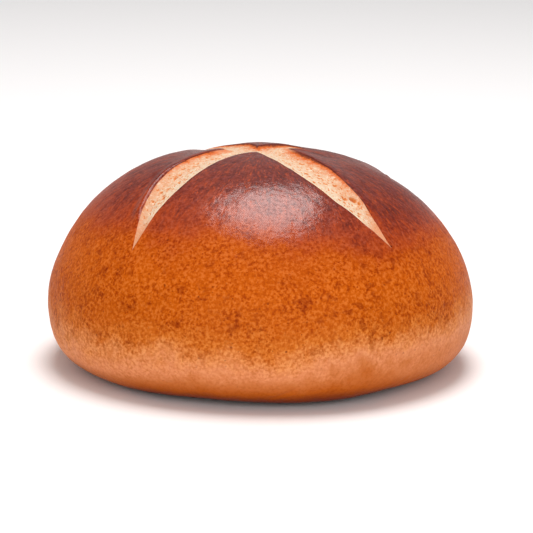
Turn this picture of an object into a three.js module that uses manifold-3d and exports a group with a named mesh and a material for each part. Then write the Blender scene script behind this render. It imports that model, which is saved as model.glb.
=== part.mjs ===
// A pretzel roll: one round, domed bread roll, baked in one piece, with a flat base and a
// cross-shaped score on top that has sprung open in the oven.
// Millimetres, +Z up. The origin is the middle of the flat base. -Y is the front.
// The roll is a lathed profile made of two superellipse quarters that meet at its widest height,
// given a few gentle lobes. The score is a shallow trough with four sickle-shaped arms: its walls
// stand straight up and down, and its floor follows the dome and meets it near the arms' tips.

import * as THREE from "three";
import { mergeVertices } from "three/addons/utils/BufferGeometryUtils.js";
import Module from "manifold-3d";

// ---- Driving dimensions ----
const WIDEST_RADIUS = 52.5;
const WIDEST_HEIGHT = 15.6; // height of the widest ring above the base
const HEIGHT = 53;
const BASE_RADIUS = 36.2; // of the flat patch that it rests on
const SHOULDER = { across: 2.58, up: 1.68 }; // superellipse exponents above the widest ring
const FOOT = 2.65; // superellipse exponent of the rounded lower edge

// Gentle lobes that keep the outline from being a perfect circle. Even numbers of waves are the
// same on opposite sides, so the roll stays centred on its origin.
const LOBES = [
  { waves: 2, share: 0.005 },
  { waves: 4, share: 0.003 },
];

const SCORE_DEPTH = 1.5; // at the middle of the cross
const SCORE_REACH = 45.5; // radius where the trough's floor meets the dome
const SCORE_FADE = 4; // how late along an arm its floor rises to the dome

// The opened score in plan. Four quarters of crust stand round it, each with a rim that runs from
// the tip of one arm, in to the quarter's own corner near the middle, and out to the next arm's tip.
// "inwards" and "outwards" are the handles of the cubic curves before and after the corner.
const TIPS = {
  frontLeft: [-30.3, -33.0],
  frontRight: [31.0, -30.9],
  backRight: [31.5, 30.5],
  backLeft: [-30.0, 32.0],
};
const QUARTERS = [
  {
    from: "frontLeft",
    inwards: [[-11.2, -14.3], [-8.2, -4.7]],
    corner: [-2.6, -2.4],
    outwards: [[4.8, -13.5], [12.2, -30.9]],
    to: "frontRight",
  },
  {
    from: "frontRight",
    inwards: [[28.0, -32.1], [13.6, -9.9]],
    corner: [6.1, 0.8],
    outwards: [[17.5, 3.2], [28.5, 16.5]],
    to: "backRight",
  },
  {
    from: "backRight",
    inwards: [[16.5, 17.6], [7.0, 7.5]],
    corner: [-0.8, 4.2],
    outwards: [[-3.6, 14.5], [-15.5, 28.0]],
    to: "backLeft",
  },
  {
    from: "backLeft",
    inwards: [[-28.5, 27.5], [-11.0, 11.5]],
    corner: [-9.2, -1.2],
    outwards: [[-20.2, -4.2], [-29.5, -22.5]],
    to: "frontLeft",
  },
];

// ---- Mesh fineness ----
const ROUND_STEPS = 72;
const UPPER_STEPS = 26;
const LOWER_STEPS = 8;
const RIM_STEPS = 12; // straight pieces in each half of a quarter's rim

// ---- The dome ----

// A quarter of a superellipse, as the share of the way across and up at angle 0 to a right angle.
function quarterPoint(angle, across, up) {
  return [Math.cos(angle) ** (2 / across), Math.sin(angle) ** (2 / up)];
}

// The roll's half outline, from the middle of the base round to the top.
function rollProfile() {
  const points = [new THREE.Vector2(0, 0)];
  for (let i = 0; i <= LOWER_STEPS; i++) {
    const [across, down] = quarterPoint((Math.PI / 2) * (1 - i / LOWER_STEPS), FOOT, FOOT);
    const radius = BASE_RADIUS + (WIDEST_RADIUS - BASE_RADIUS) * across;
    points.push(new THREE.Vector2(radius, WIDEST_HEIGHT * (1 - down)));
  }
  for (let i = 1; i <= UPPER_STEPS; i++) {
    const [across, up] = quarterPoint((Math.PI / 2) * (i / UPPER_STEPS), SHOULDER.across, SHOULDER.up);
    points.push(new THREE.Vector2(WIDEST_RADIUS * across, WIDEST_HEIGHT + (HEIGHT - WIDEST_HEIGHT) * up));
  }
  points[points.length - 1].x = 0;
  return points;
}

// The same outline with its top lowered to the floor of the score. Past the score's reach it stands
// above the dome, so that it cuts nothing there.
function floorProfile() {
  return rollProfile().map(({ x, y }) => {
    const lowered = SCORE_DEPTH * (1 - (x / SCORE_REACH) ** SCORE_FADE);
    return new THREE.Vector2(x, y > WIDEST_HEIGHT ? y - lowered : y);
  });
}

// Turns a profile into a solid of revolution about Z, and gives it the roll's lobes.
function lobedLathe(profile) {
  const lathe = new THREE.LatheGeometry(profile, ROUND_STEPS).rotateX(Math.PI / 2);
  const position = lathe.getAttribute("position");
  for (let i = 0; i < position.count; i++) {
    const angle = Math.atan2(position.getY(i), position.getX(i));
    const lobe = LOBES.reduce((sum, { waves, share }) => sum + share * Math.sin(waves * angle), 1);
    position.setXY(i, position.getX(i) * lobe, position.getY(i) * lobe);
  }
  return lathe;
}

// ---- The score ----

// The rims of the four quarters, one after the other, which is also the outline of the open cross.
function scoreOutline() {
  const outline = new THREE.Shape();
  outline.moveTo(...TIPS[QUARTERS[0].from]);
  for (const { inwards, corner, outwards, to } of QUARTERS) {
    outline.bezierCurveTo(...inwards[0], ...inwards[1], ...corner);
    outline.bezierCurveTo(...outwards[0], ...outwards[1], ...TIPS[to]);
  }
  return outline;
}

function scorePrism() {
  const settings = { depth: HEIGHT, bevelEnabled: false, curveSegments: RIM_STEPS };
  return new THREE.ExtrudeGeometry(scoreOutline(), settings).translate(0, 0, WIDEST_HEIGHT);
}

// ---- Booleans ----

const wasm = await Module();
wasm.setup();

function toSolid(geometry) {
  const bare = geometry.clone();
  bare.deleteAttribute("normal");
  bare.deleteAttribute("uv");
  const merged = mergeVertices(bare, 1e-4);
  return new wasm.Manifold(new wasm.Mesh({
    numProp: 3,
    vertProperties: new Float32Array(merged.getAttribute("position").array),
    triVerts: new Uint32Array(merged.index.array),
  }));
}

function toGeometry(solid) {
  const { numProp, numVert, vertProperties, triVerts } = solid.getMesh();
  const positions = new Float32Array(numVert * 3);
  for (let i = 0; i < numVert; i++) {
    positions.set(vertProperties.subarray(i * numProp, i * numProp + 3), i * 3);
  }
  const geometry = new THREE.BufferGeometry();
  geometry.setAttribute("position", new THREE.BufferAttribute(positions, 3));
  geometry.setIndex(new THREE.BufferAttribute(triVerts, 1));
  geometry.computeVertexNormals();
  return geometry;
}

// ---- The roll ----

const dome = toSolid(lobedLathe(rollProfile()));
const underScore = toSolid(lobedLathe(floorProfile()));
const trough = toSolid(scorePrism()).subtract(underScore);

const crust = new THREE.MeshStandardMaterial({ color: 0x9a4a1c, roughness: 0.42, metalness: 0 });
const pretzelRoll = new THREE.Mesh(toGeometry(dome.subtract(trough)), crust);
pretzelRoll.name = "pretzel_roll";

const group = new THREE.Group();
group.add(pretzelRoll);
export default group;
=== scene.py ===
"""The looks of a pretzel roll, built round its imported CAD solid.

The roll is one closed mesh. Its smooth shape is the CAD roll's: a turned profile with gentle lobes. Points
are laid out on a flat map of that surface, close together in the score and wide apart on the base, and joined
into triangles there. Each point is then lifted onto the roll, and moved in or out along the surface's normal
to make the lips, crumb, pores, blisters, creases and hollows. Lengths in the shape are in millimetres.
"""

import math

import bpy
import numpy as np
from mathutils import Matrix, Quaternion, Vector, noise
from mathutils.geometry import delaunay_2d_cdt
from mathutils.kdtree import KDTree


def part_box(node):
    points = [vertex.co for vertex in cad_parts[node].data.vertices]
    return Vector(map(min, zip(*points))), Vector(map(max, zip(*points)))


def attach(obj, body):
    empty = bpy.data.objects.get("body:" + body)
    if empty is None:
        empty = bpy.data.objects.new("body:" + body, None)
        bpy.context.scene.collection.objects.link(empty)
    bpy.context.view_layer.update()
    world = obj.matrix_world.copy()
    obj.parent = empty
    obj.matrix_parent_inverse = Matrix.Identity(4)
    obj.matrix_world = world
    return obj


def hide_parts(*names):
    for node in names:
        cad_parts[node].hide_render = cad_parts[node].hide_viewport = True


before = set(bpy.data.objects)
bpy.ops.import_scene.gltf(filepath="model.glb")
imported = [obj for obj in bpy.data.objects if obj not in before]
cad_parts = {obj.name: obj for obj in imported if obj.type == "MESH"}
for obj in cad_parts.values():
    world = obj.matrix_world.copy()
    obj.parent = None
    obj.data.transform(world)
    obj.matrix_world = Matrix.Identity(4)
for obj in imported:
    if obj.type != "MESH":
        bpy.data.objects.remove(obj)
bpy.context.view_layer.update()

MM = 0.001

# ---- The smooth roll, in millimetres ----
NODE_LOW, NODE_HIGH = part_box("pretzel_roll")
WIDEST_RADIUS = (NODE_HIGH.x - NODE_LOW.x) / 2 / MM
HEIGHT = 1.0095 * WIDEST_RADIUS
WIDEST_HEIGHT = 0.297 * WIDEST_RADIUS
BASE_RADIUS = 0.69 * WIDEST_RADIUS
SHOULDER_ACROSS, SHOULDER_UP = 2.58, 1.68
FOOT = 2.65
LOBES = ((2, 0.005), (4, 0.003))  # waves round the roll, and how far each goes as a share of the radius
UPPER_SAMPLES, LOWER_SAMPLES, BASE_SAMPLES = 3000, 1500, 400

# ---- The score, in plan ----
TIPS = {
    "front_left": (-30.3, -33.0),
    "front_right": (31.6, -31.4),
    "back_right": (31.5, 30.5),
    "back_left": (-30.0, 32.0),
}
# Each quarter of crust has a rim from one arm's tip to its own corner, and out to the next arm's tip, with
# the handles of a cubic curve for each half. A half's lip is how far it turns up, its toast how dark the
# crumb is at its edge, and its curl how high a ridge stands just behind its edge.
QUARTERS = {
    "front": {
        "from": "front_left", "in": ((-11.2, -14.3), (-8.2, -4.7)), "in_lip": 0.15, "in_toast": 0.1,
        "corner": (-1.9, -2.4),
        "out": ((4.8, -13.5), (12.2, -30.9)), "to": "front_right", "out_lip": 0.15, "out_toast": 0.1,
    },
    "right": {
        "from": "front_right", "in": ((28.0, -32.1), (13.6, -9.9)), "in_lip": 0.6, "in_toast": 1.0,
        "corner": (6.1, 0.8),
        "out": ((17.5, 3.2), (28.5, 16.5)), "to": "back_right", "out_lip": 0.7, "out_toast": 0.4,
    },
    "back": {
        "from": "back_right", "in": ((16.5, 17.6), (7.0, 7.5)), "in_lip": 0.5, "in_toast": 1.0,
        "corner": (-1.3, 3.4),
        "out": ((-3.6, 14.5), (-15.5, 28.0)), "to": "back_left", "out_lip": 0.1, "out_toast": 1.0,
    },
    "left": {
        "from": "back_left", "in": ((-28.5, 27.5), (-11.0, 11.5)), "in_lip": 0.3, "in_toast": 0.4,
        "corner": (-9.2, -1.2),
        "out": ((-20.2, -4.2), (-28.9, -22.7)), "to": "front_left", "out_lip": 0.7, "out_toast": 0.75,
        "out_curl": 0.42,
    },
}
# The halves on the upper side of each arm's sloping crumb. The others are on its lower side.
UPPER_HALVES = {("left", "out"), ("right", "in"), ("back", "in"), ("back", "out")}

# ---- The score's relief, in millimetres ----
RIM_WANDER = ((5.0, 0.28), (1.6, 0.10))  # the torn rim's waves: their size and how far they go
LIP_FADE = 14  # how far from an arm's tip a lip has its full height
LIP_SPREAD = 4.5  # how far a lip's rise reaches into the crust
EDGE_ROLL = 0.08  # how far the very edge turns down, and how much more of it for each millimetre of lip
EDGE_ROLL_OF_LIP = 0.22
EDGE_ROLL_SPREAD = 0.35
CURL_STARTS, CURL_ENDS = (3, 9), (31, 19)  # where a curl fades in and out, by distance from the arm's tip
RIDGE_PLACE, RIDGE_WIDTH = 0.95, 0.92  # of a curled edge, by distance from the rim
VALLEY_PLACE, VALLEY_WIDTH, VALLEY_SHARE = 3.3, 1.1, 0.6  # behind the ridge, its depth a share of the height
CRUMB_EDGE_OF_LIP, CRUMB_EDGE_DROP = 0.65, 0.10  # the crumb meets a lip part of the way up
CRUMB_SAG = 0.55  # in the middle of an arm of full width
FULL_WIDTH = 8  # of an arm
NARROW_WIDTHS = (5.0, 1.4)  # the widths at which an arm begins and ends to turn into a tip
TOAST_REACH = 0.95  # of the toasted edge into the crumb, and how much more of it near the cross's middle
TOAST_MORE, TOAST_MORE_RADII = 0.8, (26, 8)
TOAST_FADE, TOAST_AT_TIP = (8, 32), 0.35  # a rim is toasted less towards its tip
PAINTED_EDGE_HIGHLIGHT_WIDTH = 0.4  # of the painted highlight, a pale line along the lower side
ON_RIM = 1e-4  # a point this close to the rim is on it
FAR_FROM_RIM = 99.0

# ---- The rest of the relief, in millimetres ----
# Layers of noise: the size of its lumps, their height, a seed and the number of octaves.
SLOW_LAYERS = ((26, 0.22, 3, 1), (9, 0.10, 4, 1))
LEATHER_LAYERS = ((2.4, 0.045, 5, 2), (5.5, 0.035, 6, 1))
# Broad swells (+) and dents (-): where each is, how wide it is and how high it stands from the smooth roll.
BROAD_SWELLS = (
    ((14, 14, 50), 6, -0.9),
    ((9, 13, 52), 3.5, -0.4),
    ((-9, 21, 50), 6, -0.2),
    ((-1, 11, 53), 4, 0.25),
    ((-13, 11, 50), 5, -1.2),
    ((-22, 8, 48), 6, 0.35),
    ((26, 13, 47), 7, -0.6),
    ((36, 8, 41), 11, -0.6),
    ((-38, 8, 41), 12, 0.4),
    ((-47, 0, 4), 8, -0.7),
    ((34, -32, 4), 10, -0.8),
    ((-9, -36, 0), 10, -0.7),
    ((20, -46, 14), 9, 0.25),
    ((-24, 40, 20), 12, -0.5),
    ((10, 50, 12), 12, 0.4),
)
# Creases: the azimuth in degrees and the height of each one's two ends, its bend, depth and width.
CREASES = (
    ((-125, 10.5), (-108, 7.5), 0.6, 0.22, 0.45),
    ((-121, 7.0), (-110, 6.2), -0.3, 0.18, 0.40),
    ((-88, 3.2), (-78, 8.0), -1.0, 0.20, 0.55),
    ((-172, 26.0), (-166, 14.0), 1.4, 0.16, 0.50),
    ((-168, 22.0), (-161, 12.0), 1.0, 0.12, 0.45),
    ((48, 6.0), (74, 8.5), 0.8, 0.22, 0.50),
    ((98, 9.0), (112, 5.0), -0.6, 0.20, 0.50),
    ((150, 8.0), (163, 7.0), 0.5, 0.18, 0.45),
    ((4, 7.5), (14, 6.0), 0.4, 0.18, 0.45),
    ((-134, 52.91), (-101, 52.91), 0, 0.09, 0.40),
    ((-133, 52.80), (-89, 52.80), 0, 0.08, 0.45),
)
CREASE_STEPS = 24
RIDGE_BESIDE_CREASE = 0.45  # its height as a share of the crease's depth
CRUST_SPOTS = 260
SPOT_HEIGHTS = (-0.13, -0.08, 0.07, 0.12)
SMALLEST_SPOT, SPOT_SPREAD = 0.8, 1.4  # half lengths
LOWEST_SPOT = 3  # height on the roll
TAUT_ABOVE, TAUT_SHARE = 38, 0.35  # the tight crust on top has lower spots
SIDE_BLISTER = ((30, 8, 45), 0.9, 0.22)  # place, radius and height
FIBRE_LENGTH, FIBRE_WIDTH, FIBRE_DEPTH = 3.5, 0.8, 0.11
CRUMB_LUMP, CRUMB_LUMP_DEPTH = 1.5, 0.09
CRUMB_PORES = 900
SMALLEST_PORE, PORE_SPREAD = 0.26, 0.5  # half lengths
PORE_DEPTH = 0.36  # as a share of the half length
PORE_TURN = 0.35  # how far a pore may turn from the arm's direction
BIG_PORE = ((21.6, -23.8), 1.5, 0.9, 0.75)  # place in plan, half length, half width and depth

# ---- Mesh fineness, in millimetres ----
RIM_STEP = 0.25
CRUST_STEP = 0.62
BASE_STEP = 1.3
BASE_BLEND = 6  # over which the steps grow from the crust's to the base's
SCORE_STEP = 0.27
LIP_ROWS = (0.16, 0.34, 0.56, 0.84)
LIP_BAND = 2.2
ROW_KEPT = 0.93  # a row's point is dropped when the rim is nearer than this share of the row's distance
CROWDED = 0.45  # and when another point is nearer than this share of the first row's

# ---- The discs that textures are baked on, in the unit square ----
UPPER_DISC = 0.49  # radius, in the middle of the square
BASE_DISC, BASE_DISC_PLACE = 0.078, 0.086


# ================================================================ the smooth surface

def profile_points():
    """Radius and height along the profile, from the top of the dome to the middle of the base."""
    t = (1 - np.linspace(0, 1, UPPER_SAMPLES) ** 2) * math.pi / 2
    upper_r = WIDEST_RADIUS * np.cos(t).clip(0) ** (2 / SHOULDER_ACROSS)
    upper_z = WIDEST_HEIGHT + (HEIGHT - WIDEST_HEIGHT) * np.sin(t).clip(0) ** (2 / SHOULDER_UP)
    t = np.linspace(0, math.pi / 2, LOWER_SAMPLES)
    lower_r = BASE_RADIUS + (WIDEST_RADIUS - BASE_RADIUS) * np.cos(t).clip(0) ** (2 / FOOT)
    lower_z = WIDEST_HEIGHT * (1 - np.sin(t) ** (2 / FOOT))
    base_r = np.linspace(BASE_RADIUS, 0, BASE_SAMPLES)
    r = np.concatenate([upper_r, lower_r[1:], base_r[1:]])
    z = np.concatenate([upper_z, lower_z[1:], 0 * base_r[1:]])
    return r, z


class Surface:
    """The smooth roll, by arc length from the top of the dome and by azimuth, and a flat map of it that keeps
    angles."""

    STEP = 0.1
    SMOOTHING = 2.0
    TRUE_RADIUS = 25.0  # where the map has the surface's own size

    def __init__(self):
        r, z = profile_points()
        s = np.concatenate([[0], np.cumsum(np.hypot(np.diff(r), np.diff(z)))])
        self.s = np.arange(0, s[-1], self.STEP)
        self.r = self.smoothed(np.interp(self.s, s, r), odd=True)
        self.z = self.smoothed(np.interp(self.s, s, z), odd=False)
        self.base_s = float(np.interp(-BASE_RADIUS, -r[-BASE_SAMPLES:], s[-BASE_SAMPLES:]))
        slope_r, slope_z = np.gradient(self.r, self.STEP), np.gradient(self.z, self.STEP)
        length = np.hypot(slope_r, slope_z)
        self.normal_r, self.normal_z = -slope_z / length, slope_r / length
        inverse = 1 / np.maximum(self.r, self.STEP / 2)
        log_map = np.concatenate([[0], np.cumsum((inverse[1:] + inverse[:-1]) / 2 * self.STEP)])
        self.top = int(np.argmax(self.r))
        true_size = np.interp(self.TRUE_RADIUS, self.r[:self.top], log_map[:self.top])
        self.log_map = log_map - true_size + math.log(self.TRUE_RADIUS)

    def smoothed(self, values, odd):
        """A moving average that takes the kinks out of the profile. The ends reflect, as the profile does."""
        half = int(self.SMOOTHING / self.STEP)
        sign = -1 if odd else 1
        padded = np.concatenate([sign * values[half:0:-1], values, sign * values[-2:-half - 2:-1]])
        window = np.hanning(2 * half + 3)[1:-1]
        return np.convolve(padded, window / window.sum(), mode="valid")

    def arc_of_radius(self, radius):
        """Arc length at a plan radius on the upper side."""
        return np.interp(radius, self.r[:self.top], self.s[:self.top])

    def to_map(self, arc, azimuth):
        rho = np.exp(np.interp(arc, self.s, self.log_map))
        return np.stack([rho * np.cos(azimuth), rho * np.sin(azimuth)], -1)

    def from_map(self, uv):
        rho = np.hypot(uv[:, 0], uv[:, 1]).clip(1e-6)
        return np.interp(np.log(rho), self.log_map, self.s), np.arctan2(uv[:, 1], uv[:, 0])

    def plan_to_map(self, xy):
        return self.to_map(self.arc_of_radius(np.hypot(xy[:, 0], xy[:, 1])), np.arctan2(xy[:, 1], xy[:, 0]))

    def map_scale(self, uv):
        """Map units per millimetre of surface."""
        arc, _ = self.from_map(uv)
        return np.hypot(uv[:, 0], uv[:, 1]) / np.interp(arc, self.s, self.r).clip(self.STEP)

    def positions(self, arc, azimuth):
        """Points on the surface and their normals."""
        lobe = 1 + sum(share * np.sin(waves * azimuth) for waves, share in LOBES)
        r, z = np.interp(arc, self.s, self.r) * lobe, np.interp(arc, self.s, self.z)
        normal_r, normal_z = np.interp(arc, self.s, self.normal_r), np.interp(arc, self.s, self.normal_z)
        x, y = np.cos(azimuth), np.sin(azimuth)
        points = np.stack([r * x, r * y, z], -1)
        return points, np.stack([normal_r * x, normal_r * y, normal_z], -1)


SURFACE = Surface()


def smoothstep(low, high, x):
    t = ((x - low) / (high - low)).clip(0, 1)
    return t * t * (3 - 2 * t)


def gradient_noise(points, size, seed=0, octaves=1):
    """Smooth noise from about -1 to 1 at each point, whose lumps are about size millimetres across."""
    shift = Vector((seed * 17.3, seed * 5.1, seed * 9.7))
    if octaves == 1:
        return np.array([noise.noise(Vector(p) / size + shift) for p in points])
    return np.array([noise.fractal(Vector(p) / size + shift, 1.0, 2.0, octaves) for p in points])


def layered_noise(points, layers):
    return sum(height * gradient_noise(points, size, seed, octaves) for size, height, seed, octaves in layers)


# ================================================================ the score's rims

def bezier(points, count):
    a, b, c, d = (np.array(p, float) for p in points)
    t = np.linspace(0, 1, count)[:, None]
    return (1 - t) ** 3 * a + 3 * (1 - t) ** 2 * t * b + 3 * (1 - t) * t * t * c + t ** 3 * d


class Rims:
    """Close-set samples along the whole outline of the score, with what each stretch of it is like."""

    def __init__(self):
        plan, lip, toast, upper, curl = [], [], [], [], []
        for name, quarter in QUARTERS.items():
            halves = (
                ("in", (TIPS[quarter["from"]], *quarter["in"], quarter["corner"])),
                ("out", (quarter["corner"], *quarter["out"], TIPS[quarter["to"]])),
            )
            for half, curve in halves:
                line = self.evenly(bezier(curve, 400))
                to_tip = np.arange(len(line)) * RIM_STEP
                if half == "out":
                    to_tip = to_tip[::-1]
                plan.append(line)
                upper.append(np.full(len(line), (name, half) in UPPER_HALVES))
                lip.append(quarter[half + "_lip"] * smoothstep(0, LIP_FADE, to_tip))
                fade = TOAST_AT_TIP + (1 - TOAST_AT_TIP) * smoothstep(*TOAST_FADE, to_tip)
                toast.append(quarter[half + "_toast"] * fade)
                fade = smoothstep(*CURL_STARTS, to_tip) * smoothstep(*CURL_ENDS, to_tip)
                curl.append(quarter.get(half + "_curl", 0) * fade)
        self.plan = np.concatenate(plan)
        self.lip, self.toast, self.upper = np.concatenate(lip), np.concatenate(toast), np.concatenate(upper)
        self.curl = np.concatenate(curl)
        self.make_ragged()
        self.uv = SURFACE.plan_to_map(self.plan)
        self.at = SURFACE.positions(*SURFACE.from_map(self.uv))[0]

    @staticmethod
    def evenly(line):
        """The line with a sample every RIM_STEP, without its last point, which starts the next line."""
        length = np.concatenate([[0], np.cumsum(np.hypot(*np.diff(line, axis=0).T))])
        count = max(2, round(length[-1] / RIM_STEP))
        at = np.linspace(0, length[-1], count + 1)[:-1]
        return np.stack([np.interp(at, length, line[:, i]) for i in (0, 1)], -1)

    def make_ragged(self):
        """Torn crust isn't cut clean: the rim wanders a little from its curve."""
        flat = np.concatenate([self.plan, np.zeros((len(self.plan), 1))], 1)
        for size, amount in RIM_WANDER:
            wander = np.stack([gradient_noise(flat, size, seed) for seed in (1, 2)], -1)
            self.plan = self.plan + amount * wander

    def outwards(self):
        """Unit normals of the outline in the map, pointing from the crumb to the crust."""
        ahead, behind = np.roll(self.uv, -1, 0), np.roll(self.uv, 1, 0)
        along = ahead - behind
        return np.stack([-along[:, 1], along[:, 0]], -1) / np.hypot(*along.T)[:, None]

    def contains(self, uv):
        """Which map points are in the score."""
        inside = np.zeros(len(uv), bool)
        near = np.hypot(*uv.T) < np.hypot(*self.uv.T).max()
        x, y = uv[near].T
        found = np.zeros(len(x), bool)
        for (x1, y1), (x2, y2) in zip(self.uv, np.roll(self.uv, -1, 0)):
            if y1 != y2:
                found ^= ((y1 > y) != (y2 > y)) & (x < (x2 - x1) * (y - y1) / (y2 - y1) + x1)
        inside[near] = found
        return inside

    def nearest(self, points, chosen=None):
        """Distance from each surface point to the rim, and the nearest sample. chosen limits the samples."""
        index = np.arange(len(self.at)) if chosen is None else np.flatnonzero(chosen)
        tree = KDTree(len(index))
        for i in index:
            tree.insert(self.at[i], i)
        tree.balance()
        sample = np.array([tree.find(p)[1] for p in points])
        best = np.linalg.norm(points - self.at[sample], axis=1)
        for step in (-1, 1):
            other = (sample + step) % len(self.at)
            edge = self.at[other] - self.at[sample]
            share = ((points - self.at[sample]) * edge).sum(1) / (edge ** 2).sum(1)
            foot = self.at[sample] + share.clip(0, 1)[:, None] * edge
            best = np.minimum(best, np.linalg.norm(points - foot, axis=1))
        return best, sample


RIMS = Rims()


# ================================================================ points on the map

def crust_rings():
    """Rings of points all over the roll, each turned against the last, closest on the crust."""
    rings, arc, turn = [], CRUST_STEP / 2, 0.0
    while arc < SURFACE.s[-1] - BASE_STEP:
        on_base = smoothstep(SURFACE.base_s, SURFACE.base_s + BASE_BLEND, np.array(arc))
        step = CRUST_STEP + (BASE_STEP - CRUST_STEP) * on_base
        count = max(6, round(2 * math.pi * np.interp(arc, SURFACE.s, SURFACE.r) / step))
        turn += math.pi / count
        azimuth = turn + np.arange(count) * 2 * math.pi / count
        rings.append(SURFACE.to_map(np.full(count, arc), azimuth))
        arc += step * math.sqrt(3) / 2
    return np.concatenate(rings)


def score_lattice():
    """Even rows of points over the map's middle, where the score is."""
    reach = np.hypot(*RIMS.uv.T).max() + LIP_BAND * 1.5
    rows = np.arange(-reach, reach, SCORE_STEP * math.sqrt(3) / 2)
    columns = np.arange(-reach, reach, SCORE_STEP)
    u, v = np.meshgrid(columns, rows)
    u = u + SCORE_STEP / 2 * (np.arange(len(rows)) % 2)[:, None]
    return np.stack([u.ravel(), v.ravel()], -1)


def rim_distance(uv):
    """How far each map point is from the rim, in millimetres of surface."""
    points, _ = SURFACE.positions(*SURFACE.from_map(uv))
    return RIMS.nearest(points)[0]


def lip_rows():
    """Rows of points that follow the rim on both sides, where the lip is most curved."""
    rows = []
    scale = SURFACE.map_scale(RIMS.uv)[:, None]
    for away in LIP_ROWS:
        for side in (1, -1):
            row = RIMS.uv + side * away * scale * RIMS.outwards()
            rows.append(row[rim_distance(row) > ROW_KEPT * away])
    return np.concatenate(rows)


def layout():
    """Map points and triangles, with the rim as edges of the triangles."""
    rings, lattice, rows = crust_rings(), score_lattice(), lip_rows()
    in_reach = np.hypot(*rings.T) < np.hypot(*RIMS.uv.T).max() + 2 * LIP_BAND
    distance = np.full(len(rings), np.inf)
    distance[in_reach] = rim_distance(rings[in_reach])
    rings = rings[(distance > LIP_BAND) & ~RIMS.contains(rings)]
    distance = rim_distance(lattice)
    inside = RIMS.contains(lattice)
    widest_row = LIP_ROWS[-1] + SCORE_STEP / 2
    lattice = lattice[(distance > widest_row) & (inside | (distance < LIP_BAND))]
    rows = spaced_out(rows)
    count = len(RIMS.uv)
    points = np.concatenate([RIMS.uv, rows, lattice, rings])
    edges = [(i, (i + 1) % count) for i in range(count)]
    made = delaunay_2d_cdt([Vector(p) for p in points], edges, [], 0, 1e-7)
    return np.array([tuple(p) for p in made[0]]), np.array(made[2])


def closed(faces, count):
    """The triangles with the hole at the middle of the base filled, by a fan round one more point."""
    sides = np.concatenate([faces[:, [0, 1]], faces[:, [1, 2]], faces[:, [2, 0]]])
    key, reverse = sides[:, 0] * count + sides[:, 1], sides[:, 1] * count + sides[:, 0]
    rim = sides[~np.isin(key, reverse)]
    fan = np.stack([rim[:, 1], rim[:, 0], np.full(len(rim), count)], -1)
    return np.concatenate([faces, fan])


def spaced_out(uv):
    """Drops points that another one crowds, as where rows from both sides of a narrow arm meet."""
    tree = KDTree(len(uv))
    for i, p in enumerate(uv):
        tree.insert((*p, 0), i)
    tree.balance()
    closest = CROWDED * LIP_ROWS[0] * SURFACE.map_scale(uv)
    kept = np.ones(len(uv), bool)
    for i, p in enumerate(uv):
        if kept[i]:
            for _, j, _ in tree.find_range((*p, 0), closest[i]):
                if j > i:
                    kept[j] = False
    return uv[kept]


# ================================================================ relief

def crust_by_rim(distance, lip, curl):
    """How far the crust moves near the rim: the lip's rise, its edge rolled down, and the ridge of a curl."""
    roll = EDGE_ROLL + EDGE_ROLL_OF_LIP * lip
    move = lip * np.exp(-(distance / LIP_SPREAD) ** 2) - roll * np.exp(-distance / EDGE_ROLL_SPREAD)
    ridge = np.exp(-((distance - RIDGE_PLACE) / RIDGE_WIDTH) ** 2)
    valley = np.exp(-((distance - VALLEY_PLACE) / VALLEY_WIDTH) ** 2)
    return move + curl * (ridge - VALLEY_SHARE * valley), lip - roll


def score_relief(points, crumb):
    """How far each point moves along its normal for the score, and what the materials need to know there."""
    known = {name: np.zeros(len(points)) for name in ("rim", "toast", "painted_edge_highlight", "warm", "tip")}
    known["rim"] += FAR_FROM_RIM
    move = np.zeros(len(points))
    on_top = (np.hypot(points[:, 0], points[:, 1]) < WIDEST_RADIUS) & (points[:, 2] > WIDEST_HEIGHT)
    near = np.flatnonzero(on_top)
    place = points[near]
    distance, sample = RIMS.nearest(place)
    on_crumb = crumb[near] | (distance < ON_RIM)
    crust_move, edge = crust_by_rim(distance, RIMS.lip[sample], RIMS.curl[sample])

    # The crumb slopes up from the lower side of its arm to the upper side, and sags between them.
    to_upper, upper_sample = RIMS.nearest(place, RIMS.upper)
    to_lower, lower_sample = RIMS.nearest(place, ~RIMS.upper)
    width = to_lower + to_upper
    across = to_lower / width.clip(1e-6)
    upper_edge = RIMS.lip[upper_sample] * CRUMB_EDGE_OF_LIP - CRUMB_EDGE_DROP
    lower_edge = RIMS.lip[lower_sample] * CRUMB_EDGE_OF_LIP - CRUMB_EDGE_DROP
    level = lower_edge + (upper_edge - lower_edge) * smoothstep(0.55, 1.0, across)
    sag = CRUMB_SAG * (width / FULL_WIDTH).clip(0, 1) * (4 * across * (1 - across)).clip(0, 1)
    crumb_move = edge + (level - sag - edge) * smoothstep(0, 0.5, distance)
    move[near] = np.where(on_crumb, crumb_move, crust_move)

    narrow = smoothstep(*NARROW_WIDTHS, np.where(on_crumb, width, width - 2 * distance))
    reach = TOAST_REACH * (1 + 0.6 * gradient_noise(place, 4.0, 15))
    reach *= 1 + TOAST_MORE * smoothstep(*TOAST_MORE_RADII, np.hypot(place[:, 0], place[:, 1]))
    # Painted highlight: a pale line along the crumb's lower edge, where the edge catches the light.
    lower_painted_highlight = np.exp(-(distance / PAINTED_EDGE_HIGHLIGHT_WIDTH) ** 2) * (1 - narrow)
    # A curled edge stays glossy close to the rim, so it counts as further away.
    known["rim"][near] = np.where(on_crumb, -distance, distance + 2 * RIMS.curl[sample])
    known["toast"][near] = np.where(on_crumb, RIMS.toast[sample] * np.exp(-distance / reach), 0)
    known["painted_edge_highlight"][near] = np.where(on_crumb & ~RIMS.upper[sample], lower_painted_highlight, 0)
    known["warm"][near] = np.where(on_crumb, np.maximum(across, narrow), 0)
    known["tip"][near] = narrow
    return move, known


def swells(points):
    """Slow unevenness of the whole roll."""
    move = layered_noise(points, SLOW_LAYERS)
    for place, size, height in BROAD_SWELLS:
        move += height * np.exp(-((points - place) ** 2).sum(1) / (2 * size * size))
    return move


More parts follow.
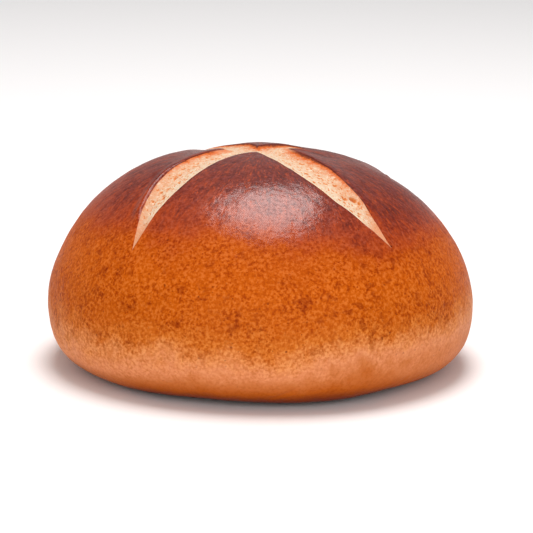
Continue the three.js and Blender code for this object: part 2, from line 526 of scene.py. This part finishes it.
class Spots:
    """Finds the points near a place, to raise or sink a round or long spot there."""

    def __init__(self, points):
        self.points = points
        self.tree = KDTree(len(points))
        for i, point in enumerate(points):
            self.tree.insert(point, i)
        self.tree.balance()

    def at(self, place, half_length, half_width, along):
        """The near points' numbers, and how deep in the spot each is: 1 in its middle, 0 at its edge."""
        near = np.array([i for _, i, _ in self.tree.find_range(place, half_length)], int)
        offset = self.points[near] - np.array(place)
        lengthwise = offset @ along
        crosswise = (offset ** 2).sum(1) - lengthwise ** 2
        inside = (1 - (lengthwise / half_length) ** 2 - crosswise / half_width ** 2).clip(0)
        return near, smoothstep(0, 1, inside)


def crease_line(start, end, bend):
    """Points along a crease, bowed by bend millimetres, and how strong it is at each: nothing at its ends."""
    share = np.linspace(0, 1, CREASE_STEPS)
    azimuth = np.radians(start[0] + (end[0] - start[0]) * share)
    height = start[1] + (end[1] - start[1]) * share + 4 * bend * share * (1 - share)
    side = SURFACE.s > SURFACE.s[SURFACE.top]
    lower, upper = SURFACE.z[side][::-1], SURFACE.z[~side][::-1]
    arc = np.where(height < WIDEST_HEIGHT,
                   np.interp(height, lower, SURFACE.s[side][::-1]),
                   np.interp(height, upper, SURFACE.s[~side][::-1]))
    return SURFACE.positions(arc, azimuth)[0], np.sin(math.pi * share)


def creases(points, spots):
    """Thin grooves with a faint ridge on each side, deepest halfway along."""
    move = np.zeros(len(points))
    for start, end, bend, depth, width in CREASES:
        line, strength = crease_line(start, end, bend)
        near = set()
        for place in line:
            near.update(i for _, i, _ in spots.tree.find_range(place, 5 * width))
        near = np.array(sorted(near))
        gap = np.linalg.norm(points[near][:, None] - line[None], axis=2)
        nearest = gap.argmin(1)
        gap = gap.min(1) / width
        groove = np.exp(-gap ** 2) - RIDGE_BESIDE_CREASE * np.exp(-(gap - 2) ** 2)
        move[near] -= depth * strength[nearest] * groove
    return move


def crust_relief(points, normals, rim, spots):
    """Leathery dimples, low blisters and shallow hollows of the crust, which fade out in the crumb."""
    on_crust = smoothstep(0.2, 1.5, rim)
    move = layered_noise(points, LEATHER_LAYERS)
    draw = np.random.RandomState(11)
    for i in draw.choice(np.flatnonzero(points[:, 2] > LOWEST_SPOT), CRUST_SPOTS):
        size = SMALLEST_SPOT + SPOT_SPREAD * draw.random_sample() ** 2
        height = draw.choice(SPOT_HEIGHTS) * (0.6 + 0.6 * draw.random_sample())
        along = np.cross(normals[i], draw.random_sample(3) - 0.5)
        along /= np.linalg.norm(along)
        near, inside = spots.at(points[i], size, size * (0.6 + 0.3 * draw.random_sample()), along)
        taut = TAUT_SHARE if points[i][2] > TAUT_ABOVE else 1
        move[near] += height * taut * inside
    place, size, height = SIDE_BLISTER
    centre = points[np.linalg.norm(points - place, axis=1).argmin()]
    near, inside = spots.at(centre, size, size, np.array((0, 1, 0)))
    move[near] += height * inside
    return on_crust * move + creases(points, spots)


def crumb_relief(points, rim, spots):
    """Torn crumb: fibres that run out along the arms, and pores stretched the same way. Also gives how deep
    in a pore each point is."""
    in_crumb = smoothstep(-0.25, -0.9, rim)
    radius, azimuth = np.hypot(points[:, 0], points[:, 1]), np.arctan2(points[:, 1], points[:, 0])
    fibre_place = (radius / FIBRE_LENGTH, azimuth * radius / FIBRE_WIDTH, points[:, 2] / FIBRE_LENGTH)
    fibre_place = np.stack(fibre_place, -1)
    crumb = np.flatnonzero(rim < 0)
    move = np.zeros(len(points))
    move[crumb] = FIBRE_DEPTH * gradient_noise(fibre_place[crumb], 1, 7)
    move[crumb] += CRUMB_LUMP_DEPTH * gradient_noise(points[crumb], CRUMB_LUMP, 8)

    draw = np.random.RandomState(23)
    pores = []
    for i in draw.choice(np.flatnonzero(rim < -0.7), CRUMB_PORES):
        half_length = SMALLEST_PORE + PORE_SPREAD * draw.random_sample() ** 3
        half_width = half_length * (0.3 * draw.random_sample() + 0.35)
        pores.append((points[i], half_length, half_width, PORE_DEPTH * half_length))
    place, *sizes = BIG_PORE
    nearest = ((points[crumb, :2] - place) ** 2).sum(1).argmin()
    pores.append((points[crumb[nearest]], *sizes))
    pore = np.zeros(len(points))
    for place, half_length, half_width, depth in pores:
        radius = np.hypot(place[0], place[1])
        along = np.array((place[0], place[1], -0.3 * radius))
        along[:2] += PORE_TURN * (draw.random_sample(2) - 0.5) * radius
        along /= np.linalg.norm(along)
        near, inside = spots.at(place, half_length, half_width, along)
        move[near] -= depth * inside
        pore[near] = np.maximum(pore[near], inside)
    return in_crumb * move, in_crumb * pore


def base_relief(points):
    """The underside isn't quite flat: it lifts a little off the surface in patches, and more at its edge."""
    lift = 0.16 * (gradient_noise(points, 7, 12, 2) - 0.05).clip(0)
    lift += 0.05 * (gradient_noise(points, 2.8, 13) + 0.2).clip(0)
    edge = smoothstep(BASE_RADIUS - 7, BASE_RADIUS, np.hypot(points[:, 0], points[:, 1]))
    return lift + edge * 0.3 * (gradient_noise(points, 9, 14) + 0.3).clip(0)


# ================================================================ the mesh

def spread_flat(mesh, faces, arc, azimuth):
    """The map that textures are baked on: the crust and score as one disc, and the base as a small disc in a
    corner that the large one leaves free."""
    full = SURFACE.s.max()
    outwards = np.stack([np.cos(azimuth), np.sin(azimuth)], -1)
    upper = 0.5 + UPPER_DISC * (arc / SURFACE.base_s)[:, None] * outwards
    base = BASE_DISC_PLACE + BASE_DISC * ((full - arc) / (full - SURFACE.base_s))[:, None] * outwards
    on_base = arc[faces].mean(1) > SURFACE.base_s
    corners = np.where(on_base[:, None, None], base[faces], upper[faces])
    mesh.uv_layers.new(name="OFBake").data.foreach_set("uv", corners.ravel().astype(np.float32))


def build_roll():
    uv, faces = layout()
    arc, azimuth = SURFACE.from_map(uv)
    points, normals = SURFACE.positions(arc, azimuth)
    crumb_faces = RIMS.contains(uv[faces].mean(1))
    base = smoothstep(SURFACE.base_s - 3, SURFACE.base_s + 1, arc)
    spots = Spots(points)

    move, known = score_relief(points, RIMS.contains(uv))
    fine = crust_relief(points, normals, known["rim"], spots)
    torn, pore = crumb_relief(points, known["rim"], spots)
    known.update(pore=pore, base=base)
    move += swells(points) * (1 - base) + fine * (1 - base) + torn
    placed = points + normals * move[:, None]
    placed[:, 2] = placed[:, 2].clip(0)
    placed[:, 2] += base * base_relief(points)

    # One more point, the middle of the base, closes the mesh.
    faces = closed(faces, len(placed))
    placed = np.concatenate([placed, np.zeros((1, 3))])
    crumb_faces = np.append(crumb_faces, np.zeros(len(faces) - len(crumb_faces), bool))

    mesh = bpy.data.meshes.new("pretzel_roll_bread")
    mesh.from_pydata((placed * MM).tolist(), [], faces.tolist())
    mesh.update()
    for name, values in known.items():
        values = np.append(values, values[-1])
        mesh.attributes.new(name, "FLOAT", "POINT").data.foreach_set("value", values.astype(np.float32))
    spread_flat(mesh, faces, np.append(arc, SURFACE.s.max()), np.append(azimuth, 0))
    mesh.polygons.foreach_set("use_smooth", np.ones(len(mesh.polygons), bool))
    mesh.polygons.foreach_set("material_index", crumb_faces.astype(np.int32))
    roll = bpy.data.objects.new("pretzel_roll_bread", mesh)
    bpy.context.scene.collection.objects.link(roll)
    return roll


# ================================================================ materials

DOT_WANDER = 0.6  # how far dots wander from even places, as a share of their spacing


class Nodes:
    """Short names for the few kinds of node that the two materials are made of."""

    def __init__(self, name):
        self.material = bpy.data.materials.new(name)
        self.material.use_nodes = True
        self.tree = self.material.node_tree
        self.shader = self.tree.nodes["Principled BSDF"]
        place = self.tree.nodes.new("ShaderNodeTexCoord")
        self.mm = self.vector("SCALE", place.outputs["Object"], scale=1 / MM)

    def link(self, value, socket):
        if isinstance(value, bpy.types.NodeSocket):
            self.tree.links.new(value, socket)
        else:
            socket.default_value = value

    def vector(self, operation, value, other=None, scale=None):
        node = self.tree.nodes.new("ShaderNodeVectorMath")
        node.operation = operation
        self.link(value, node.inputs[0])
        if other is not None:
            self.link(other, node.inputs[1])
        if scale is not None:
            node.inputs["Scale"].default_value = scale
        return node.outputs["Vector"]

    def math(self, operation, a, b=0.0, c=0.0, clamp=False):
        node = self.tree.nodes.new("ShaderNodeMath")
        node.operation = operation
        node.use_clamp = clamp
        for value, socket in zip((a, b, c), node.inputs):
            self.link(value, socket)
        return node.outputs[0]

    def noise(self, size, detail=2.0, roughness=0.5, distortion=0.0, shift=0.0, where=None):
        """Soft noise from 0 to 1 with lumps about size millimetres across."""
        node = self.tree.nodes.new("ShaderNodeTexNoise")
        place = self.vector("ADD", where or self.mm, (shift, shift * 0.7, shift * 1.3))
        self.link(place, node.inputs["Vector"])
        node.inputs["Scale"].default_value = 1 / size
        node.inputs["Detail"].default_value = detail
        node.inputs["Roughness"].default_value = roughness
        node.inputs["Distortion"].default_value = distortion
        return node.outputs["Fac"]

    def dots(self, spacing, size, share, shift, soft=2.0):
        """Soft uneven dots, up to size millimetres in radius, on a share of places about spacing apart. It is
        1 in a dot and 0 outside."""
        wander = self.tree.nodes.new("ShaderNodeTexNoise")
        self.link(self.mm, wander.inputs["Vector"])
        wander.inputs["Scale"].default_value = 1.2 / spacing
        wander.inputs["Detail"].default_value = 0.5
        place = self.vector("MULTIPLY_ADD", wander.outputs["Color"], (DOT_WANDER * spacing,) * 3)
        self.link(self.vector("ADD", self.mm, (shift, shift, shift)), place.node.inputs[2])
        node = self.tree.nodes.new("ShaderNodeTexVoronoi")
        self.link(place, node.inputs["Vector"])
        node.inputs["Scale"].default_value = 1 / spacing
        parts = self.tree.nodes.new("ShaderNodeSeparateColor")
        self.link(node.outputs["Color"], parts.inputs[0])
        chosen = self.math("LESS_THAN", parts.outputs[0], share)
        radius = self.math("MULTIPLY_ADD", parts.outputs[1], 0.7 * size / spacing, 0.3 * size / spacing)
        outwards = self.math("DIVIDE", node.outputs["Distance"], radius)
        inside = self.math("MULTIPLY", self.math("SUBTRACT", 1.0, outwards, clamp=True), soft)
        return self.math("MULTIPLY", self.math("SMOOTH_MIN", inside, 1.0, 0.3), chosen, clamp=True)

    def attribute(self, name):
        node = self.tree.nodes.new("ShaderNodeAttribute")
        node.attribute_name = name
        return node.outputs["Fac"]

    def between(self, value, low, high, to_low=0.0, to_high=1.0):
        """value's place between low and high, as a number from to_low to to_high."""
        node = self.tree.nodes.new("ShaderNodeMapRange")
        node.interpolation_type = "SMOOTHSTEP"
        for number, socket in zip((value, low, high, to_low, to_high), node.inputs):
            self.link(number, socket)
        return node.outputs[0]

    def ramp(self, value, stops):
        node = self.tree.nodes.new("ShaderNodeValToRGB")
        elements = node.color_ramp.elements
        while len(elements) < len(stops):
            elements.new(0.5)
        for element, (place, colour) in zip(elements, stops):
            element.position = place
            element.color = (*linear(colour), 1)
        self.link(value, node.inputs[0])
        return node.outputs[0]

    def mix(self, share, a, b, blend="MIX"):
        node = self.tree.nodes.new("ShaderNodeMix")
        node.data_type = "RGBA"
        node.blend_type = blend
        self.link(share, node.inputs[0])
        for value, socket in ((a, node.inputs[6]), (b, node.inputs[7])):
            self.link(value if isinstance(value, bpy.types.NodeSocket) else (*linear(value), 1), socket)
        return node.outputs[2]

    def bump(self, height, depth, below=None):
        """height, from 0 to 1, as relief of depth millimetres."""
        node = self.tree.nodes.new("ShaderNodeBump")
        node.inputs["Distance"].default_value = depth * MM
        self.link(height, node.inputs["Height"])
        if below is not None:
            self.link(below, node.inputs["Normal"])
        return node.outputs[0]


def linear(colour):
    """A colour of three numbers from 0 to 255, as light."""
    return [(c / 255 / 12.92) if c / 255 <= 0.04045 else ((c / 255 + 0.055) / 1.055) ** 2.4 for c in colour]


# The crust's colour by height in millimetres: a dark contact edge, the pale foot, the body and the dark top.
BAKED = (
    (0.0, (92, 27, 2)),
    (2.2, (130, 49, 3)),
    (4.8, (179, 87, 20)),
    (7.5, (193, 109, 56)),
    (10.5, (213, 132, 86)),
    (13.5, (210, 126, 70)),
    (17.0, (197, 102, 31)),
    (21.0, (188, 87, 10)),
    (29.0, (191, 87, 8)),
    (35.0, (181, 79, 9)),
    (39.0, (165, 64, 9)),
    (42.0, (147, 51, 10)),
    (45.0, (127, 39, 9)),
    (48.0, (107, 28, 9)),
    (53.0, (101, 26, 12)),
)

LEAN, LEAN_TURNS_AT = 0.0045, 27  # of the bands of colour, and the height where it changes sides
# For streaks: directions are put on a circle of this radius in millimetres, and places shrunk to this share.
STREAK_TURN, STREAK_SQUEEZE = 26, 0.4
# What the baked colour is multiplied by, as light.
PALE_SKIN, PALE_SKIN_HAZE = (1.17, 1.40, 1.40), (0.006, 0.008, 0.013)  # the haze is added
DEEP_SPECK = (0.66, 0.46, 0.15)
DEEP_PORE = (0.34, 0.22, 0.3)
BLOTCH = (0.60, 0.42, 0.2)
# Colours from 0 to 255.
TOP_FLECK, TOP_DUSK = (182, 70, 14), (78, 20, 14)
DARK_RIM = (66, 18, 6)
UNDERSIDE_DARK, UNDERSIDE_PALE, UNDERSIDE_SPECK = (132, 66, 24), (178, 104, 50), (110, 52, 18)
CRUMB_PALE, CRUMB_WARM = (213, 192, 165), (206, 155, 119)
CRUMB_GRAIN, STRAND = (208, 142, 92), (232, 212, 188)
TOASTED, SCORCHED = (200, 92, 22), (104, 38, 8)
# Painted shade in the crumb's pores: warm over each pore and darker in its deepest middle.
PAINTED_PORE_SHADE, PAINTED_PORE_DEEP_SHADE = (208, 118, 44), (176, 82, 22)
# A painted highlight along the crumb's lower edge.
PAINTED_EDGE_HIGHLIGHT = (232, 204, 172)
ARM_TIP = (209, 138, 98)


def baked_height(n, across, aside, up, clouds, mottle):
    """The height that the crust's colour goes by: its own, moved up or down unevenly."""
    # The bands of colour lean: towards +X they are lower on the upper half and higher on the lower half.
    lean = n.math("MULTIPLY", across, n.math("MULTIPLY_ADD", up, LEAN, -LEAN * LEAN_TURNS_AT))
    uneven = n.math("MULTIPLY_ADD", clouds, 10.0, n.math("MULTIPLY_ADD", mottle, 6.0, -8.0))
    uneven = n.math("MULTIPLY", n.math("ADD", uneven, lean), n.between(up, 1, 12, 0.1, 1.0))
    # The dark top reaches lower on both sides than at the front and back.
    flank = n.math("MULTIPLY", n.between(aside, 12, 40, -1.0, 3.0), n.between(up, 31, 40))
    uneven = n.math("ADD", uneven, flank)
    # Painted light: the foot is paler towards both sides, as if more light fell on it there.
    foot = n.math("MULTIPLY", n.between(aside, 20, 42, 0.0, 3.0), n.between(up, 12, 6))
    uneven = n.math("ADD", uneven, foot)
    return n.math("ADD", up, uneven)


def speckled(n, height, clouds):
    """The baked colour with fine dark specks, a paler skin between them, pores and blotches. Also gives where
    the specks and pores are."""
    baked = n.ramp(n.math("DIVIDE", height, HEIGHT), [(mm / HEIGHT, colour) for mm, colour in BAKED])
    grain = n.noise(0.75, 2.0, 0.6, 0.2, shift=80)
    crowded = n.between(n.noise(6, 2.0, 0.6, 0.5, shift=15), 0.35, 0.60, 0.5, 1.0)
    dots = n.dots(spacing=0.85, size=0.42, share=0.75, shift=7.0, soft=1.5)
    speck = n.math("MAXIMUM", dots, n.between(grain, 0.50, 0.68))
    speck = n.math("MULTIPLY", speck, n.math("MULTIPLY", crowded, n.between(height, 7, 20, 0.30, 1.0)))
    skin = n.math("MULTIPLY", n.between(grain, 0.52, 0.36), n.between(height, 6, 17, 0.15, 1.0))
    pale = n.vector("MULTIPLY_ADD", baked, PALE_SKIN)
    pale.node.inputs[2].default_value = PALE_SKIN_HAZE
    colour = n.mix(speck, n.mix(skin, baked, pale), n.vector("MULTIPLY", baked, DEEP_SPECK))

    dots = n.dots(spacing=1.6, size=0.40, share=0.35, shift=3.0)
    pores = n.math("MULTIPLY", dots, n.between(clouds, 0.40, 0.60, 0.25, 0.85))
    pores = n.math("MULTIPLY", pores, n.between(height, 5, 14, 0.3, 1.0))
    colour = n.mix(pores, colour, n.vector("MULTIPLY", baked, DEEP_PORE))

    blotch = n.between(n.noise(2.6, 3.0, 0.6, 0.6, shift=61), 0.50, 0.68)
    blotch = n.math("MULTIPLY", blotch, n.between(n.noise(13, 1.0, shift=33), 0.42, 0.58, 0.15, 0.85))
    blotch = n.math("MULTIPLY", blotch, n.between(height, 9, 17))
    return n.mix(blotch, colour, n.vector("MULTIPLY", colour, BLOTCH)), speck, pores


def streaked_top(n, colour, height):
    """The dark top is flecked and streaked with a paler brown, and with a darker one."""
    # Places squeezed outwards, so that noise on them runs down the roll's sides in streaks.
    away = n.vector("NORMALIZE", n.vector("MULTIPLY", n.mm, (1, 1, 0)))
    streaky = n.vector("MULTIPLY_ADD", away, (STREAK_TURN, STREAK_TURN, 0))
    n.link(n.vector("SCALE", n.mm, scale=STREAK_SQUEEZE), streaky.node.inputs[2])
    flecks = n.between(n.noise(0.8, 2.0, 0.65, 0.4, shift=27, where=streaky), 0.53, 0.68)
    streaks = n.between(n.noise(2.6, 3.0, 0.6, 0.6, shift=51, where=streaky), 0.45, 0.70)
    flecks = n.math("MULTIPLY", n.math("MULTIPLY_ADD", streaks, 0.5, flecks), n.between(height, 34, 44))
    colour = n.mix(n.math("MULTIPLY", flecks, 0.55, clamp=True), colour, TOP_FLECK)
    dusk = n.between(n.noise(1.5, 3.0, 0.6, 0.5, shift=71, where=streaky), 0.50, 0.68)
    dusk = n.math("MULTIPLY", dusk, n.between(height, 37, 47))
    return n.mix(n.math("MULTIPLY", dusk, 0.65), colour, TOP_DUSK)


def crust_bumps(n, speck, pores):
    """Fine relief for the crust, and a softer one for the gloss over it."""
    wrinkles = n.noise(1.5, 3.0, 0.6, 0.8, shift=5)
    lumps = n.noise(0.9, 2.0, 0.6, 0.4, shift=13)
    fine = n.noise(0.45, 2.0, 0.6, 0.3, shift=9)
    around_specks, around_pores = n.math("SUBTRACT", 1.0, speck), n.math("SUBTRACT", 1.0, pores)
    relief = n.bump(wrinkles, depth=0.07)
    relief = n.bump(around_specks, depth=0.035, below=relief)
    relief = n.bump(lumps, depth=0.055, below=relief)
    relief = n.bump(fine, depth=0.04, below=relief)
    relief = n.bump(around_pores, depth=0.08, below=relief)
    n.link(relief, n.shader.inputs["Normal"])
    glaze = n.bump(wrinkles, depth=0.05)
    glaze = n.bump(lumps, depth=0.035, below=glaze)
    glaze = n.bump(fine, depth=0.010, below=glaze)
    glaze = n.bump(around_pores, depth=0.05, below=glaze)
    n.link(glaze, n.shader.inputs["Coat Normal"])


def crust_material():
    n = Nodes("lye_baked_crust")
    parts = n.tree.nodes.new("ShaderNodeSeparateXYZ")
    n.link(n.mm, parts.inputs[0])
    across, up = parts.outputs[0], parts.outputs[2]
    aside = n.math("ABSOLUTE", across)
    clouds = n.noise(16, 2.0, 0.55, 0.4)
    mottle = n.noise(3.2, 3.0, 0.6, 0.3, shift=40)
    height = baked_height(n, across, aside, up, clouds, mottle)
    colour, speck, pores = speckled(n, height, clouds)
    colour = streaked_top(n, colour, height)

    # The crust is darker and duller at the rims.
    rim = n.math("ADD", n.attribute("rim"), n.attribute("tip"))
    colour = n.mix(n.between(rim, 0.05, 0.4, 0.65, 0.0), colour, DARK_RIM)
    base = n.attribute("base")
    under = n.mix(n.between(mottle, 0.3, 0.7), UNDERSIDE_DARK, UNDERSIDE_PALE)
    colour = n.mix(base, colour, n.mix(speck, under, UNDERSIDE_SPECK))
    n.link(colour, n.shader.inputs["Base Color"])
    crust_bumps(n, speck, pores)

    # Only the top is glossy, and less so in its specks, at the rims and towards both sides.
    gloss = n.between(height, 35, 43, 0.02, 0.72)
    gloss = n.math("MULTIPLY", gloss, n.math("MULTIPLY_ADD", speck, -0.25, 1.0))
    gloss = n.math("MULTIPLY", gloss, n.between(rim, 0.1, 0.7, 0.10, 1.0))
    gloss = n.math("MULTIPLY", gloss, n.between(aside, 14, 34, 1.0, 0.5))
    n.link(n.math("MULTIPLY", gloss, n.math("SUBTRACT", 1.0, base)), n.shader.inputs["Coat Weight"])
    n.link(n.between(mottle, 0.3, 0.7, 0.42, 0.56), n.shader.inputs["Roughness"])
    n.shader.inputs["Coat Roughness"].default_value = 0.20
    n.shader.inputs["Specular IOR Level"].default_value = 0.03
    n.shader.inputs["Sheen Weight"].default_value = 0.03
    n.shader.inputs["Sheen Roughness"].default_value = 0.35
    return n.material


def crumb_material():
    n = Nodes("open_crumb")
    fine = n.noise(0.4, 2.0, 0.6, 0.2)
    mottle = n.noise(1.6, 3.0, 0.6, 0.4, shift=20)
    warm = n.math("MULTIPLY_ADD", n.math("SUBTRACT", mottle, 0.5), 1.6, n.attribute("warm"))
    colour = n.mix(n.between(warm, 0.1, 0.95), CRUMB_PALE, CRUMB_WARM)
    colour = n.mix(n.between(fine, 0.50, 0.66, 0.0, 0.5), colour, CRUMB_GRAIN)
    strands = n.between(n.noise(0.7, 2.0, 0.6, 1.0, shift=33), 0.54, 0.66, 0.0, 0.5)
    colour = n.mix(strands, colour, STRAND)
    toast = n.math("MULTIPLY_ADD", n.math("SUBTRACT", mottle, 0.5), 0.8, n.attribute("toast"))
    toast = n.math("MULTIPLY_ADD", n.math("SUBTRACT", fine, 0.5), 0.5, toast)
    colour = n.mix(n.between(toast, 0.10, 0.62), colour, TOASTED)
    colour = n.mix(n.between(toast, 0.52, 0.92), colour, SCORCHED)
    pore = n.attribute("pore")
    # Painted shade in the pores, darkest where they are deepest.
    colour = n.mix(n.between(pore, 0.08, 0.55, 0.0, 0.85), colour, PAINTED_PORE_SHADE)
    colour = n.mix(n.between(pore, 0.45, 1.0, 0.0, 0.6), colour, PAINTED_PORE_DEEP_SHADE)
    # Painted highlight: the pale line along the crumb's lower edge.
    colour = n.mix(n.attribute("painted_edge_highlight"), colour, PAINTED_EDGE_HIGHLIGHT)
    colour = n.mix(n.between(n.attribute("tip"), 0.1, 1.0, 0.0, 0.65), colour, ARM_TIP)
    n.link(colour, n.shader.inputs["Base Color"])
    relief = n.bump(mottle, depth=0.18)
    relief = n.bump(fine, depth=0.08, below=relief)
    n.link(relief, n.shader.inputs["Normal"])
    n.shader.inputs["Roughness"].default_value = 0.7
    n.shader.inputs["Specular IOR Level"].default_value = 0.2
    n.shader.inputs["Subsurface Weight"].default_value = 0.15
    n.shader.inputs["Subsurface Radius"].default_value = (1.0, 0.5, 0.3)
    n.shader.inputs["Subsurface Scale"].default_value = 1.0 * MM
    return n.material


roll = build_roll()
roll.data.materials.append(crust_material())
roll.data.materials.append(crumb_material())
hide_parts("pretzel_roll")
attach(roll, "root")


# ================================================================ floor, light and camera

FLOOR_REACH = 6.0  # metres


def plain_floor():
    mesh = bpy.data.meshes.new("floor")
    corners = [(x * FLOOR_REACH, y * FLOOR_REACH, 0) for x, y in ((-1, -1), (1, -1), (1, 1), (-1, 1))]
    mesh.from_pydata(corners, [], [(0, 1, 2, 3)])
    floor = bpy.data.objects.new("floor", mesh)
    bpy.context.scene.collection.objects.link(floor)
    material = bpy.data.materials.new("pale_floor")
    material.use_nodes = True
    shader = material.node_tree.nodes["Principled BSDF"]
    shader.inputs["Base Color"].default_value = (0.95, 0.95, 0.95, 1)
    shader.inputs["Roughness"].default_value = 0.8
    shader.inputs["Specular IOR Level"].default_value = 0.1
    mesh.materials.append(material)


def soft_light(name, shape, towards, distance, size, watts, colour=(1, 1, 1)):
    """A softbox, towards a direction from the roll, facing it. Its distance and size are in metres."""
    data = bpy.data.lights.new(name, "AREA")
    data.shape = shape
    data.size, data.size_y = size
    data.energy = watts
    data.color = colour
    light = bpy.data.objects.new(name, data)
    bpy.context.scene.collection.objects.link(light)
    direction = Vector(towards).normalized()
    light.location = Vector((0, 0, HEIGHT / 2 * MM)) + direction * distance
    light.rotation_mode = "QUATERNION"
    light.rotation_quaternion = direction.to_track_quat("Z", "Y")


def room_light(strength):
    world = bpy.data.worlds.new("studio")
    world.use_nodes = True
    world.node_tree.nodes["Background"].inputs[0].default_value = (1, 1, 1, 1)
    world.node_tree.nodes["Background"].inputs[1].default_value = strength
    bpy.context.scene.world = world


CAMERA_ELEVATION = math.radians(13)
CAMERA_DISTANCE = 0.8  # metres
CAMERA_LENS, SENSOR_WIDTH = 219.3, 36  # millimetres
CAMERA_ROLL = math.radians(1.07)
CAMERA_PAN = math.radians(-0.092)
CAMERA_TILT = math.radians(-0.085)
AIM = Vector((0, 0, 0.025))  # metres


def place_camera():
    data = bpy.data.cameras.new("camera")
    data.sensor_width = SENSOR_WIDTH
    data.lens = CAMERA_LENS
    camera = bpy.data.objects.new("camera", data)
    bpy.context.scene.collection.objects.link(camera)
    back = Vector((0, -math.cos(CAMERA_ELEVATION), math.sin(CAMERA_ELEVATION)))
    camera.location = AIM + back * CAMERA_DISTANCE
    camera.rotation_mode = "QUATERNION"
    turn = Quaternion((0, 0, 1), CAMERA_ROLL) @ Quaternion((0, 1, 0), CAMERA_PAN)
    turn = turn @ Quaternion((1, 0, 0), CAMERA_TILT)
    camera.rotation_quaternion = back.to_track_quat("Z", "Y") @ turn
    bpy.context.scene.camera = camera


plain_floor()
room_light(strength=0.38)
soft_light("overhead_softbox", "ELLIPSE", towards=(0.025, 0.115, 0.98), distance=0.7, size=(0.39, 0.60),
           watts=4.8, colour=(1.0, 0.95, 0.94))
soft_light("front_softbox", "RECTANGLE", towards=(0.10, -1.0, 0.36), distance=1.8, size=(3.3, 1.2),
           watts=21.6)
place_camera()
bpy.context.scene.view_settings.view_transform = "Standard"
